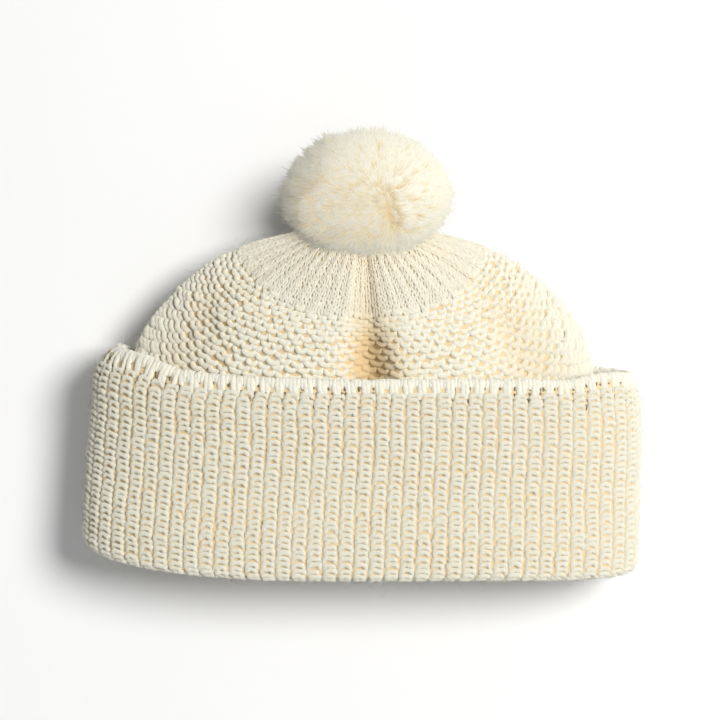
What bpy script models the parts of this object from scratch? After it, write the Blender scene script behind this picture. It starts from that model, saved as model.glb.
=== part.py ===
"""A knitted wool beanie with a turned-up cuff and a yarn pompom, lying on its back.

Metres, +Z up. The beanie rests on Z = 0 with its front face up: X runs across it, +Y runs from
the mouth to the pompom. The origin is the centre of its box on the floor.
Pieces: crown, cuff, pompom and the tie that holds the pompom to the crown.
"""

import math
import random
from collections import namedtuple

import bmesh
import bpy
from mathutils import Vector

# Cuff: the knit turned up round the mouth.
CUFF_WIDTH = 0.2386
CUFF_HEIGHT = 0.0845
CUFF_DEPTH = 0.054
CUFF_MIDDLE_SHARE = 0.43
CUFF_LEAN = 0.0035
KNIT_WALL = 0.0043
LAYER_GAP = 0.0018
SEAM_LEG = 0.008
RIB_COUNT = 76
RIB_RELIEF = 0.0009

# The mouth leans: its front hangs lower than its sides and its back higher. The cuff's top edge is
# level at the back, and the whole cuff rolls, its -X side up and its +X side down.
MOUTH_DIP = 0.0120
MOUTH_LIFT = 0.0110
EDGE_DIP = 0.0090
SIDE_ROLL = 0.0056

# Crown: the dome above the cuff, and the wall that runs down inside the cuff to the mouth's fold.
CROWN_WIDTH = 0.195
CROWN_RISE = 0.058
CROWN_DEPTH = 0.050
CROWN_SHIFT = 0.0006
TIP_HEIGHT = 0.028
FOLD_DEPTH = 0.0140
FOLD_WIDTH = 0.0085
GATHER_RELIEF = 0.0011

# Pompom, and the tie that runs from a knot inside the crown through the gathered tip.
POMPOM_WIDTH = 0.0785
POMPOM_LENGTH = 0.057
POMPOM_DEPTH = 0.074
POMPOM_TAPER = 0.09
POMPOM_PRESS = 0.0012
POMPOM_PROUD = 0.040
POMPOM_SHIFT = 0.0022
LOCK_HEIGHT = 0.0045
LOCK_SCATTER = 0.0012
TIE_RADIUS = 0.0026
KNOT_RADIUS = 0.0045
KNOT_LENGTH = 0.010
KNOT_DROP = 0.0005
TIE_REACH = 0.011

# Clearance between pieces that touch on the real hat.
PIECE_GAP = 0.0003
SEAM_GAP = 0.0007
SEAT_GAP = 0.0006

TOP_SQUARENESS = 0.6
BOTTOM_SQUARENESS = 1.4
RING_POINTS = 80
RING_SAMPLES = 720
FRONT_CROWDING_SHARE = 0.45
FOLD_STEPS = 4
SEAT_FIRST_ROW = 4
SEED = 7

# A closed section of the hat. Its side points, front and back have their own places along Y, so
# that the section can dip at the front; squareness is 0 for an ellipse and 1 for a flattened tube.
Ring = namedtuple("Ring", "side_y front_y back_y half_width front_z back_z middle_z shift roll squareness")

# The cuff's outer face, from the mouth to its top edge: heights are shares of CUFF_HEIGHT, widths
# of CUFF_WIDTH, depths of CUFF_DEPTH, lean of CUFF_LEAN.
CuffRow = namedtuple("CuffRow", "height width depth lean")
MOUTH_ROW = CuffRow(height=0.0, width=0.998, depth=0.905, lean=-0.2)
CUFF_ROWS = [
    CuffRow(height=0.20, width=1.000, depth=0.935, lean=0.0),
    CuffRow(height=0.42, width=0.996, depth=0.905, lean=0.2),
    CuffRow(height=0.70, width=0.990, depth=0.955, lean=0.6),
    CuffRow(height=0.93, width=0.965, depth=1.000, lean=0.9),
    CuffRow(height=1.00, width=0.930, depth=0.970, lean=1.5),
]

FOLD_RADIUS = KNIT_WALL + LAYER_GAP / 2
CROWN_LENGTH = CUFF_HEIGHT + CROWN_RISE
MOUTH_SAG = MOUTH_DIP * (1 - FOLD_RADIUS / (CUFF_DEPTH * (MOUTH_ROW.depth - CUFF_MIDDLE_SHARE)))
HAT_LENGTH = MOUTH_SAG + CROWN_LENGTH + POMPOM_PROUD
MOUTH_Y = MOUTH_SAG - HAT_LENGTH / 2
TIP_Y = MOUTH_Y + CROWN_LENGTH

# The crown's outer face, from inside the cuff to the gathered tip: side, dip and lift are shares of
# CROWN_LENGTH, width of CROWN_WIDTH, front, back and middle of CROWN_DEPTH, roll of SIDE_ROLL,
# fold of FOLD_DEPTH, fold_width of FOLD_WIDTH and gather of GATHER_RELIEF.
CrownRow = namedtuple(
    "CrownRow", "side dip lift width front back middle squareness roll fold fold_width gather"
)
CROWN_ROWS = [
    CrownRow(0.280, 0.217, 0.175, 1.065, 0.855, 0.125, 0.46, 0.9, 0.8, 0.10, 1.20, 0.0),
    CrownRow(0.588, 0.358, 0.077, 1.008, 0.872, 0.110, 0.45, 0.9, 0.2, 0.45, 1.10, 0.0),
    CrownRow(0.714, 0.316, 0.035, 0.925, 0.895, 0.080, 0.46, 0.8, 0.0, 0.85, 1.05, 0.0),
    CrownRow(0.806, 0.267, 0.014, 0.812, 0.945, 0.060, 0.47, 0.7, 0.0, 1.00, 1.00, 0.0),
    CrownRow(0.869, 0.217, 0.007, 0.704, 1.000, 0.095, 0.48, 0.5, 0.0, 0.75, 0.90, 0.2),
    CrownRow(0.911, 0.190, 0.000, 0.598, 0.972, 0.160, 0.50, 0.3, 0.0, 0.42, 0.70, 0.7),
    CrownRow(0.946, 0.140, 0.000, 0.466, 0.906, 0.255, 0.52, 0.1, 0.0, 0.25, 0.50, 1.0),
    CrownRow(0.970, 0.088, 0.000, 0.322, 0.820, 0.350, 0.54, 0.0, 0.0, 0.17, 0.40, 1.0),
    CrownRow(0.987, 0.041, 0.000, 0.182, 0.726, 0.434, 0.55, 0.0, 0.0, 0.08, 0.30, 0.8),
    CrownRow(0.996, 0.013, 0.000, 0.090, 0.632, 0.490, 0.556, 0.0, 0.0, 0.00, 0.30, 0.3),
]
TIP_SINK = 0.0022

# Soft folds that run down the crown from its tip. Place is a share of the way round from the front
# centre, plus towards +X; depth and width are shares of the crown row's own fold.
Fold = namedtuple("Fold", "place depth width")
CROWN_FOLDS = [Fold(0.006, 1.00, 1.0), Fold(0.185, 0.26, 1.5), Fold(-0.210, 0.20, 1.7)]


def clear_scene():
    for obj in list(bpy.data.objects):
        bpy.data.objects.remove(obj, do_unlink=True)


def new_collection(name, hidden=False):
    collection = bpy.data.collections.new(name)
    bpy.context.scene.collection.children.link(collection)
    collection.hide_render = hidden
    return collection


def wool(name, colour, roughness):
    material = bpy.data.materials.new(name)
    material.use_nodes = True
    shader = material.node_tree.nodes["Principled BSDF"]
    shader.inputs["Base Color"].default_value = (*colour, 1.0)
    shader.inputs["Roughness"].default_value = roughness
    shader.inputs["Metallic"].default_value = 0.0
    return material


def power(value, exponent):
    """A signed power, for the rounded square of a superellipse."""
    return math.copysign(abs(value) ** exponent, value)


def ring_outline(ring, inset):
    """Close points round a section, clockwise seen from the mouth, starting at the front centre.
    The lower half is cut level at the floor, where the soft knit is pressed flat."""
    top = 2 + TOP_SQUARENESS * ring.squareness
    bottom = 2 + BOTTOM_SQUARENESS * ring.squareness
    points = []
    for k in range(RING_SAMPLES):
        angle = 2 * math.pi * k / RING_SAMPLES
        across, up = math.sin(angle), math.cos(angle)
        exponent = 2 / (top if up > 0 else bottom)
        across, up = power(across, exponent), power(up, exponent)
        half_depth = (ring.front_z - ring.middle_z) if up > 0 else (ring.middle_z - ring.back_z)
        z = max(ring.middle_z + (half_depth - inset) * up, inset)
        end_y = ring.front_y if up > 0 else ring.back_y
        y = ring.side_y + (end_y - ring.side_y) * abs(z - ring.middle_z) / half_depth
        x = ring.shift + (ring.half_width - inset) * across
        y -= ring.roll * ((x - ring.shift) / ring.half_width) ** 3
        points.append(Vector((x, y, z)))
    return points


def walk(points, shares):
    """Points at these shares of the way round a closed outline, with each one's normal in the section."""
    lengths = [0.0]
    for a, b in zip(points, points[1:] + points[:1]):
        lengths.append(lengths[-1] + (b - a).length)
    found, k = [], 0
    for share in shares:
        target = (share % 1.0) * lengths[-1]
        k = k if lengths[k] <= target else 0
        while lengths[k + 1] < target:
            k += 1
        a, b = points[k], points[(k + 1) % len(points)]
        part = (target - lengths[k]) / max(lengths[k + 1] - lengths[k], 1e-9)
        along = b - a
        found.append((a + along * part, Vector((-along.z, 0, along.x)).normalized()))
    return found, lengths[-1]


def cuff_ring(row, height):
    """The cuff's outer section at this height above the mouth."""
    share = height / CUFF_HEIGHT
    side_y = MOUTH_Y + height
    return Ring(
        side_y=side_y,
        front_y=side_y - MOUTH_DIP - (EDGE_DIP - MOUTH_DIP) * share,
        back_y=side_y + MOUTH_LIFT * (1 - share),
        half_width=row.width * CUFF_WIDTH / 2,
        front_z=row.depth * CUFF_DEPTH,
        back_z=-RIB_RELIEF,
        middle_z=CUFF_MIDDLE_SHARE * CUFF_DEPTH,
        shift=row.lean * CUFF_LEAN,
        roll=SIDE_ROLL,
        squareness=1.0,
    )


def ribbed(ring, inset):
    """Two points a rib, one on its crest and one in the groove. The ribs are pressed out at the floor."""
    shares = [k / (2 * RIB_COUNT) for k in range(2 * RIB_COUNT)]
    found, _ = walk(ring_outline(ring, inset), shares)
    points = []
    for k, (point, normal) in enumerate(found):
        lifted = min(1.0, max(0.0, (point.z - inset) / RIB_RELIEF))
        depth = RIB_RELIEF * lifted if k % 2 else 0.0
        points.append(point - normal * depth)
    return points


def plain(ring, inset):
    """One point a rib, in step with the ribs' crests."""
    found, _ = walk(ring_outline(ring, inset), [k / RIB_COUNT for k in range(RIB_COUNT)])
    return [point for point, _ in found]


def cuff_face():
    """The ribbed face: down the inner leg from the seam, round the mouth's fold, up the outer leg."""
    rings = [ribbed(cuff_ring(MOUTH_ROW, SEAM_LEG), 2 * FOLD_RADIUS)]
    for k in range(FOLD_STEPS + 1):
        angle = math.pi * k / FOLD_STEPS
        height = FOLD_RADIUS * (1 - math.sin(angle))
        rings.append(ribbed(cuff_ring(MOUTH_ROW, height), FOLD_RADIUS * (1 + math.cos(angle))))
    for row in CUFF_ROWS:
        rings.append(ribbed(cuff_ring(row, row.height * CUFF_HEIGHT), 0.0))
    return rings


def cuff_lining():
    """The plain face between the two legs, from the seam to the top edge."""
    rings = [plain(cuff_ring(MOUTH_ROW, SEAM_LEG), 2 * FOLD_RADIUS - KNIT_WALL)]
    for k in range(FOLD_STEPS // 2 + 1):
        angle = math.pi * k / (FOLD_STEPS // 2)
        height = FOLD_RADIUS - LAYER_GAP / 2 * math.sin(angle)
        inset = FOLD_RADIUS + LAYER_GAP / 2 * math.cos(angle)
        rings.append(plain(cuff_ring(MOUTH_ROW, height), inset))
    for row in CUFF_ROWS[1::3]:
        rings.append(plain(cuff_ring(row, row.height * CUFF_HEIGHT), KNIT_WALL))
    return rings


def crown_ring(row):
    side_y = MOUTH_Y + row.side * CROWN_LENGTH
    return Ring(
        side_y=side_y,
        front_y=side_y - row.dip * CROWN_LENGTH,
        back_y=side_y + row.lift * CROWN_LENGTH,
        half_width=row.width * CROWN_WIDTH / 2,
        front_z=row.front * CROWN_DEPTH,
        back_z=row.back * CROWN_DEPTH,
        middle_z=row.middle * CROWN_DEPTH,
        shift=CROWN_SHIFT,
        roll=SIDE_ROLL * row.roll,
        squareness=row.squareness,
    )


def crowded_shares():
    """Shares round a ring that lie closer together at the front, where the deep fold is."""
    shares = []
    for k in range(RING_POINTS):
        u = k / RING_POINTS
        shares.append(u - FRONT_CROWDING_SHARE * math.sin(2 * math.pi * u) / (2 * math.pi))
    return shares


def fold_depth(share, length, row):
    """How far the folds draw a crown row in at this share of the way round it."""
    depth = 0.0
    for fold in CROWN_FOLDS:
        away = (share - fold.place + 0.5) % 1.0 - 0.5
        width = FOLD_WIDTH * row.fold_width * fold.width
        depth += fold.depth * row.fold * FOLD_DEPTH * math.exp(-((away * length / width) ** 2))
    return depth


def tip_ring(radius, y):
    """A circle round the tie, in step with the crown's own points."""
    ring = []
    for share in crowded_shares():
        angle = 2 * math.pi * share
        ring.append(Vector((CROWN_SHIFT + radius * math.sin(angle), y, TIP_HEIGHT + radius * math.cos(angle))))
    return ring


def seam_ring(inset):
    """The crown's end at the seam, a clearance past the cuff's inner leg and in line with it."""
    found, _ = walk(ring_outline(cuff_ring(MOUTH_ROW, SEAM_LEG + SEAM_GAP), inset), crowded_shares())
    return [point for point, _ in found]


def crown_base():
    """The crown's outer face with no folds: its rings from the seam to the tip, each with its length."""
    rings, lengths = [seam_ring(KNIT_WALL + LAYER_GAP)], [0.0]
    for row in CROWN_ROWS:
        found, length = walk(ring_outline(crown_ring(row), 0.0), crowded_shares())
        rings.append([point for point, _ in found])
        lengths.append(length)
    rings.append(tip_ring(TIE_RADIUS + PIECE_GAP, TIP_Y - TIP_SINK))
    return rings, lengths


def crown_rows(inset, gathered, folded=True):
    """The crown's rows with their folds, this far in from its outer face."""
    shares = crowded_shares()
    rings, lengths = crown_base()
    shaped = []
    for i, row in enumerate(CROWN_ROWS, start=1):
        points = []
        for k, point in enumerate(rings[i]):
            along = rings[i][(k + 1) % RING_POINTS] - rings[i][k - 1]
            normal = along.cross(rings[i + 1][k] - rings[i - 1][k]).normalized()
            depth = fold_depth(shares[k], lengths[i], row) if folded else 0.0
            depth += row.gather * GATHER_RELIEF if gathered and k % 2 else 0.0
            points.append(point - normal * (depth + inset))
        shaped.append(points)
    return shaped


def crown_face():
    tip = tip_ring(TIE_RADIUS + PIECE_GAP, TIP_Y - TIP_SINK)
    return [seam_ring(KNIT_WALL + LAYER_GAP)] + crown_rows(0.0, True) + [tip]


def crown_lining():
    """The hollow's face, with half as many points. Its last rows are left out: they would meet at the tie."""
    tip = tip_ring(TIE_RADIUS + PIECE_GAP, TIP_Y - TIP_SINK - KNIT_WALL)
    rows = crown_rows(KNIT_WALL, False)[:-2]
    return [ring[::2] for ring in [seam_ring(2 * KNIT_WALL + LAYER_GAP)] + rows + [tip]]


def new_piece(name, bm, collection):
    mesh = bpy.data.meshes.new(name)
    bm.to_mesh(mesh)
    bm.free()
    obj = bpy.data.objects.new(name, mesh)
    collection.objects.link(obj)
    return obj


def loft(bm, rings):
    """Faces between rings of equally many points. They face out where the rings run towards +Y."""
    loops = [[bm.verts.new(point) for point in ring] for ring in rings]
    for lower, upper in zip(loops, loops[1:]):
        for k in range(len(lower)):
            j = (k + 1) % len(lower)
            bm.faces.new((lower[k], lower[j], upper[j], upper[k]))
    return loops


def wall(name, face, lining, collection):
    """A knit wall between its two faces, which run from its first rim to its last one. The face may
    have several points for each one of the lining."""
    bm = bmesh.new()
    outer = loft(bm, face)
    inner = loft(bm, [ring[::-1] for ring in lining])
    inner = [loop[::-1] for loop in inner]
    step = len(face[0]) // len(lining[0])
    for out, lined, first in ((outer[0], inner[0], True), (outer[-1], inner[-1], False)):
        for k in range(len(lined)):
            j = (k + 1) % len(lined)
            edge = [out[(k * step + i) % len(out)] for i in range(step + 1)]
            rim = edge + [lined[j], lined[k]]
            bm.faces.new(rim[::-1] if first else rim)
    return new_piece(name, bm, collection)


def add_cut(obj, cutter):
    cut = obj.modifiers.new("Cut " + cutter.name, "BOOLEAN")
    cut.operation = "DIFFERENCE"
    cut.solver = "EXACT"
    cut.object = cutter


def finish(obj, material):
    obj.data.materials.append(material)
    obj.data.shade_smooth()


def make_cuff(collection, material):
    cuff = wall("cuff", cuff_face(), cuff_lining(), collection)
    finish(cuff, material)
    return cuff


def make_crown(collection, material):
    crown = wall("crown", crown_face(), crown_lining(), collection)
    finish(crown, material)
    return crown


def make_seat_cutter(collection):
    """The crown's smooth top grown by the seat's gap. It hollows the pompom where it sits on the crown."""
    tip = tip_ring(TIE_RADIUS + PIECE_GAP, TIP_Y - TIP_SINK + SEAT_GAP)
    rows = crown_rows(-SEAT_GAP, False, folded=False)[SEAT_FIRST_ROW:]
    bm = bmesh.new()
    loops = loft(bm, [ring[::2] for ring in rows + [tip]])
    bm.faces.new(loops[0][::-1])
    bm.faces.new(loops[-1])
    return new_piece("seat_cutter", bm, collection)


def turned(name, profile, collection):
    """A round piece about the tie's axis, which lies along Y. The profile's points are (radius, place
    along the axis), from its low end to its high one."""
    bm = bmesh.new()
    verts = [bm.verts.new((radius, 0, -place)) for radius, place in profile]
    for a, b in zip(verts, verts[1:]):
        bm.edges.new((a, b))
    obj = new_piece(name, bm, collection)
    obj.rotation_euler = (math.radians(90), 0, 0)
    obj.location = (CROWN_SHIFT, 0, TIP_HEIGHT)
    screw = obj.modifiers.new("Turn", "SCREW")
    screw.steps = screw.render_steps = 16
    screw.use_merge_vertices = True
    screw.merge_threshold = 0.0001
    return obj


def make_tie(collection, material):
    knot_end = TIP_Y - TIP_SINK - KNIT_WALL - KNOT_DROP
    knot_start = knot_end - KNOT_LENGTH
    reach = TIP_Y + TIE_REACH
    profile = [
        (0.0, knot_start),
        (0.7 * KNOT_RADIUS, knot_start),
        (KNOT_RADIUS, knot_start + 0.4 * KNOT_LENGTH),
        (TIE_RADIUS, knot_end),
        (TIE_RADIUS, reach),
        (0.0, reach),
    ]
    tie = turned("pompom_tie", profile, collection)
    finish(tie, material)
    return tie


def make_socket_cutter(collection):
    """The bore that the tie's end fills in the pompom."""
    bore = TIE_RADIUS + PIECE_GAP
    start, end = TIP_Y - POMPOM_LENGTH / 2, TIP_Y + TIE_REACH + PIECE_GAP
    return turned("socket_cutter", [(0.0, start), (bore, start), (bore, end), (0.0, end)], collection)


def make_pompom(collection, material, cutters):
    """A ball of locks: each face of a sphere is raised to a tip, and the grooves lie between. It is
    wider towards the crown and pressed flat on the floor."""
    centre_y = TIP_Y + POMPOM_PROUD - POMPOM_LENGTH / 2
    half_sizes = Vector((POMPOM_WIDTH, POMPOM_LENGTH, POMPOM_DEPTH)) / 2 - Vector((LOCK_HEIGHT,) * 3)
    bm = bmesh.new()
    bmesh.ops.create_icosphere(bm, subdivisions=4, radius=1.0)
    bmesh.ops.scale(bm, vec=half_sizes, verts=bm.verts)
    bmesh.ops.poke(bm, faces=bm.faces, offset=LOCK_HEIGHT)
    scatter = random.Random(SEED)
    centre = Vector((POMPOM_SHIFT, centre_y, POMPOM_DEPTH / 2 - POMPOM_PRESS))
    for vert in bm.verts:
        vert.co += vert.co.normalized() * scatter.uniform(-LOCK_SCATTER, 0.0)
        vert.co.x *= 1 - POMPOM_TAPER * vert.co.y / half_sizes.y
        vert.co += centre
        vert.co.z = max(vert.co.z, 0.0)
    pompom = new_piece("pompom", bm, collection)
    for cutter in cutters:
        add_cut(pompom, cutter)
    finish(pompom, material)
    return pompom


def main():
    clear_scene()
    beanie = new_collection("beanie")
    cutters = new_collection("cutters", hidden=True)
    crown_wool = wool("crown_knit", (0.86, 0.80, 0.64), 0.92)
    cuff_wool = wool("cuff_knit", (0.85, 0.80, 0.66), 0.92)
    pompom_wool = wool("pompom_yarn", (0.88, 0.85, 0.72), 0.95)
    tie_wool = wool("tie_yarn", (0.84, 0.78, 0.62), 0.9)
    make_crown(beanie, crown_wool)
    make_cuff(beanie, cuff_wool)
    make_tie(beanie, tie_wool)
    seat_and_socket = [make_seat_cutter(cutters), make_socket_cutter(cutters)]
    for cutter in seat_and_socket:
        cutter.hide_render = True
        cutter.display_type = "WIRE"
    make_pompom(beanie, pompom_wool, seat_and_socket)


main()
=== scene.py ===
"""The looks of a knitted wool beanie that lies on its back, front face up.

The knit is real yarn: each stitch is a tube laid on the form that the part's source gives, over a
ground whose tan is painted shade between the stitches. The pompom is a core with combed strands. Metres,
in the frame's own axes.
"""

import math
from collections import namedtuple

import bmesh
import bpy
import numpy as np
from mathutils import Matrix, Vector

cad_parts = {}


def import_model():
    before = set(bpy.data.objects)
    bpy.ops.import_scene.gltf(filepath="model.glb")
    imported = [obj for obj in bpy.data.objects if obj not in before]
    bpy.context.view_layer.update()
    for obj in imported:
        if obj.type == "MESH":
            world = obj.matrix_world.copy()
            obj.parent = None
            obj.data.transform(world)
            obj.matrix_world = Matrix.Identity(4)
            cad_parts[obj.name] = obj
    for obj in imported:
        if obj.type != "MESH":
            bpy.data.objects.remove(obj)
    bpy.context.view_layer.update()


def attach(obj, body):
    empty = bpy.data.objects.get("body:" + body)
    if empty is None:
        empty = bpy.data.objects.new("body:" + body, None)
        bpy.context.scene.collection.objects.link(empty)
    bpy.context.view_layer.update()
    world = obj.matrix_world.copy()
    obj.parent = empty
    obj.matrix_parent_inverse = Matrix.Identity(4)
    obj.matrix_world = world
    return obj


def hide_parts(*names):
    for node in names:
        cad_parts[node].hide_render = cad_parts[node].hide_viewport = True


# The hat's form, with the same driving dimensions as the part's source.
CUFF_WIDTH = 0.2386
CUFF_HEIGHT = 0.0845
CUFF_DEPTH = 0.054
CUFF_MIDDLE = 0.43
CUFF_LEAN = 0.0035
KNIT_WALL = 0.0043
LAYER_GAP = 0.0018
SEAM_LEG = 0.008
MOUTH_DIP = 0.0120
MOUTH_LIFT = 0.0110
EDGE_DIP = 0.0090
SIDE_ROLL = 0.0056
CROWN_WIDTH = 0.195
CROWN_RISE = 0.058
CROWN_DEPTH = 0.050
CROWN_SHIFT = 0.0006
TIP_HEIGHT = 0.028
TIP_SINK = 0.0022
TIP_SPREAD = 0.18
FOLD_DEPTH = 0.0140
FOLD_WIDTH = 0.0085
GATHER_RELIEF = 0.0011
GATHERS = 40
POMPOM_WIDTH = 0.0785
POMPOM_LENGTH = 0.057
POMPOM_DEPTH = 0.074
POMPOM_TAPER = 0.09
POMPOM_PRESS = 0.0012
POMPOM_PROUD = 0.040
POMPOM_SHIFT = 0.0022
TOP_SQUARENESS = 0.6
BOTTOM_SQUARENESS = 1.4
FOLD_RADIUS = KNIT_WALL + LAYER_GAP / 2

Ring = namedtuple("Ring", "side_y front_y back_y half_width front_z back_z middle_z shift roll squareness")
CuffRow = namedtuple("CuffRow", "height width depth lean")
CUFF_ROWS = [
    CuffRow(height=0.00, width=0.998, depth=0.905, lean=-0.2),
    CuffRow(height=0.20, width=1.000, depth=0.935, lean=0.0),
    CuffRow(height=0.42, width=0.996, depth=0.905, lean=0.2),
    CuffRow(height=0.70, width=0.990, depth=0.955, lean=0.6),
    CuffRow(height=0.93, width=0.965, depth=1.000, lean=0.9),
    CuffRow(height=1.00, width=0.930, depth=0.970, lean=1.5),
]
CROWN_LENGTH = CUFF_HEIGHT + CROWN_RISE
MOUTH_SAG = MOUTH_DIP * (1 - FOLD_RADIUS / (CUFF_DEPTH * (CUFF_ROWS[0].depth - CUFF_MIDDLE)))
HAT_LENGTH = MOUTH_SAG + CROWN_LENGTH + POMPOM_PROUD
MOUTH_Y = MOUTH_SAG - HAT_LENGTH / 2
TIP_Y = MOUTH_Y + CROWN_LENGTH

CrownRow = namedtuple(
    "CrownRow", "side dip lift width front back middle squareness roll fold fold_width gather"
)
CROWN_ROWS = [
    CrownRow(0.280, 0.217, 0.175, 1.065, 0.855, 0.125, 0.46, 0.9, 0.8, 0.10, 1.20, 0.0),
    CrownRow(0.588, 0.358, 0.077, 1.008, 0.872, 0.110, 0.45, 0.9, 0.2, 0.45, 1.10, 0.0),
    CrownRow(0.714, 0.316, 0.035, 0.925, 0.895, 0.080, 0.46, 0.8, 0.0, 0.85, 1.05, 0.0),
    CrownRow(0.806, 0.267, 0.014, 0.812, 0.945, 0.060, 0.47, 0.7, 0.0, 1.00, 1.00, 0.0),
    CrownRow(0.869, 0.217, 0.007, 0.704, 1.000, 0.095, 0.48, 0.5, 0.0, 0.75, 0.90, 0.2),
    CrownRow(0.911, 0.190, 0.000, 0.598, 0.972, 0.160, 0.50, 0.3, 0.0, 0.42, 0.70, 0.7),
    CrownRow(0.946, 0.140, 0.000, 0.466, 0.906, 0.255, 0.52, 0.1, 0.0, 0.25, 0.50, 1.0),
    CrownRow(0.970, 0.088, 0.000, 0.322, 0.820, 0.350, 0.54, 0.0, 0.0, 0.17, 0.40, 1.0),
    CrownRow(0.987, 0.041, 0.000, 0.182, 0.726, 0.434, 0.55, 0.0, 0.0, 0.08, 0.30, 0.8),
    CrownRow(0.996, 0.013, 0.000, 0.090, 0.632, 0.490, 0.556, 0.0, 0.0, 0.00, 0.30, 0.3),
]
Fold = namedtuple("Fold", "place depth width")
CROWN_FOLDS = [Fold(0.006, 1.00, 1.0), Fold(0.185, 0.26, 1.5), Fold(-0.210, 0.20, 1.7)]

# Where the yarn's own relief or lie takes over from the form: shares of the fold and the gathers that
# are left, and how far the front of the cuff's edge reaches out at its corners to meet the back.
FOLD_SHARE = 0.76
GATHER_SHARE = 0.4
CORNER_START = 0.74
CORNER_END = 0.90
CORNER_LOW = 0.7
CORNER_RISE = 0.0068

# The grids that the yarn is laid on. Places on the crown count its rows from the first.
RING_SAMPLES = 1441
SKIN_COLUMNS = 608
SKIN_STEP = 0.0012
RIM_STEPS = 9
MOUTH_STEPS = 15
TUCK = 0.014
SEAM_SHARES = (0.1, 0.6)
FACE_STEP = 0.06
HOLLOW_STEP = 0.12
HOLLOW_END = 2.5
CROWN_START = 0.4
EDGE_START = 1.0
FINE_START = 5.05

# Stitches. A course is one row of them round the hat, a wale one column. In front the yarn is finer
# meshed than at the back: a pair is sides round the yarn and points along a stitch.
CUFF_WALES = 80
CROWN_WALES = 68
FINE_WALES = 108
COURSE = 0.00240
WAFFLE_COURSE = 0.00240
FINE_COURSE = 0.00205
FRONT_SHARE = 0.285
CUFF_FINENESS = ((6, 9), (4, 7))
CROWN_FINENESS = ((6, 7), (4, 6))
FINE_FINENESS = ((4, 5), (4, 3))
FINE_RISE = 0.006
FINE_RISE_REACH = 0.20
FINE_OVERLAP = 0.0012
FINE_LEAD = 0.004
CROWN_TUCK = 0.014
TIP_GAP = 0.002

# Shapes of the stitches, in shares of their course, wale or yarn: top and reach run along the hat, and
# the tuck takes the ends in behind the neighbours.
Stitch = namedtuple("Stitch", "span top reach bend tuck tuck_start tuck_bend unevenness")
ARCH = Stitch(0.36, 0.42, 1.25, 3.4, 1.45, 0.55, 1.3, 0.05)
CUP = Stitch(0.455, -0.24, 0.60, 2.2, 0.60, 0.6, 1.5, 0.06)
ARCH_ROUNDNESS = 2.0
ARCH_LEAN = 0.10
ARCH_WAIST = 0.22
ARCH_WAIST_SINK = 0.30
ARCH_WAIST_SLIM = 0.10
ARCH_SHOULDER = 0.12
ARCH_SHOULDER_PLACE = 0.50
ARCH_SHOULDER_REACH = 0.28
CUP_FLARE = 0.12
CUP_SCALES = (0.85, 1.05)
LEG_PLACE = 0.235
LEG_SPLAY = 0.10
LEG_REACH = 0.78
LEG_SHARE = 0.30
RIB_RELIEF = 0.0009
CREST = 0.00025
CROWN_PITCH = 0.0060

# Yarn. Its plies wind round it as fine relief. Where it faces up its shading is lifted, as fuzz does.
YARN_RADIUS = 0.00100
CUP_RADIUS = 0.00136
FINE_RADIUS = 0.00082
PLIES = 3
PLY_TURN = 0.0075
PLY_RELIEF = 0.12
STITCH_SCATTER = 0.00018
PATH_WANDER = 0.00012
THICKNESS_WANDER = 0.07
YARN_SOFTNESS = 0.85
YARN_LIFT = 1.7
YARN_LIFT_START = 0.3

# The cuff's cast-on edge: arches round a row of holes, and plain yarns over the rim.
EDGE_HOLES = 82
EDGE_BAND = 0.0096
EDGE_TURN = 0.0040
EDGE_YARN = 0.00125
EDGE_WAVE = 0.0002
EDGE_POINTS = 15
EDGE_SIDES = 6
EDGE_ROUNDNESS = 4.0
EDGE_TUCK = 0.0012
HOLE_OFFSET = -0.15
EdgeYarn = namedtuple("EdgeYarn", "past_rim sink")
EDGE_YARNS = [EdgeYarn(-0.0034, 0.0012), EdgeYarn(-0.0012, 0.0016), EdgeYarn(0.0012, 0.0018)]
EdgeArch = namedtuple("EdgeArch", "span top foot radius")
EDGE_ARCHES = [EdgeArch(0.360, -0.0040, 0.0094, 0.00120), EdgeArch(0.135, -0.0036, 0.0052, 0.00112)]

# Painted shade: how shut in the knit is sets a warm tan in its colour, in the fold, spread a little to its
# right over the fold's shaded wall, and round the tip under the pompom. The ground lies under the yarn and
# carries the wall; its tan, and the tan over it in the fine knit and in the inside's grooves, is painted
# shade.
FOLD_SHADE_STRENGTH = 1.7
FOLD_SHADE_BEND = 1.1
FOLD_SHADE_SHIFTS = (0, 3, 6, 9, 12)
FOLD_SHADE_FADE = 0.04
TIP_SHADE_STRENGTH = 1.0
CROWN_SHADE_END = 2.6
GROUND_DEPTH = 0.0014
GROUND_SHADE = 0.6
GROUND_STRIDE = 4
CUFF_ROW_STRIDE = 2
CROWN_STRIDE = 2
CROWN_ROW_STRIDE = 4
FINE_GROUND_DEPTH = 0.0011
FINE_GROUND_REACH = 0.008
FINE_GUTTER_SHADE = 0.85
INSIDE_DEPTH = 0.55
HOLLOW_RELIEF = 0.0010
DRAWN_IN = 0.6
TIE_HOLE = 0.0031

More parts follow.
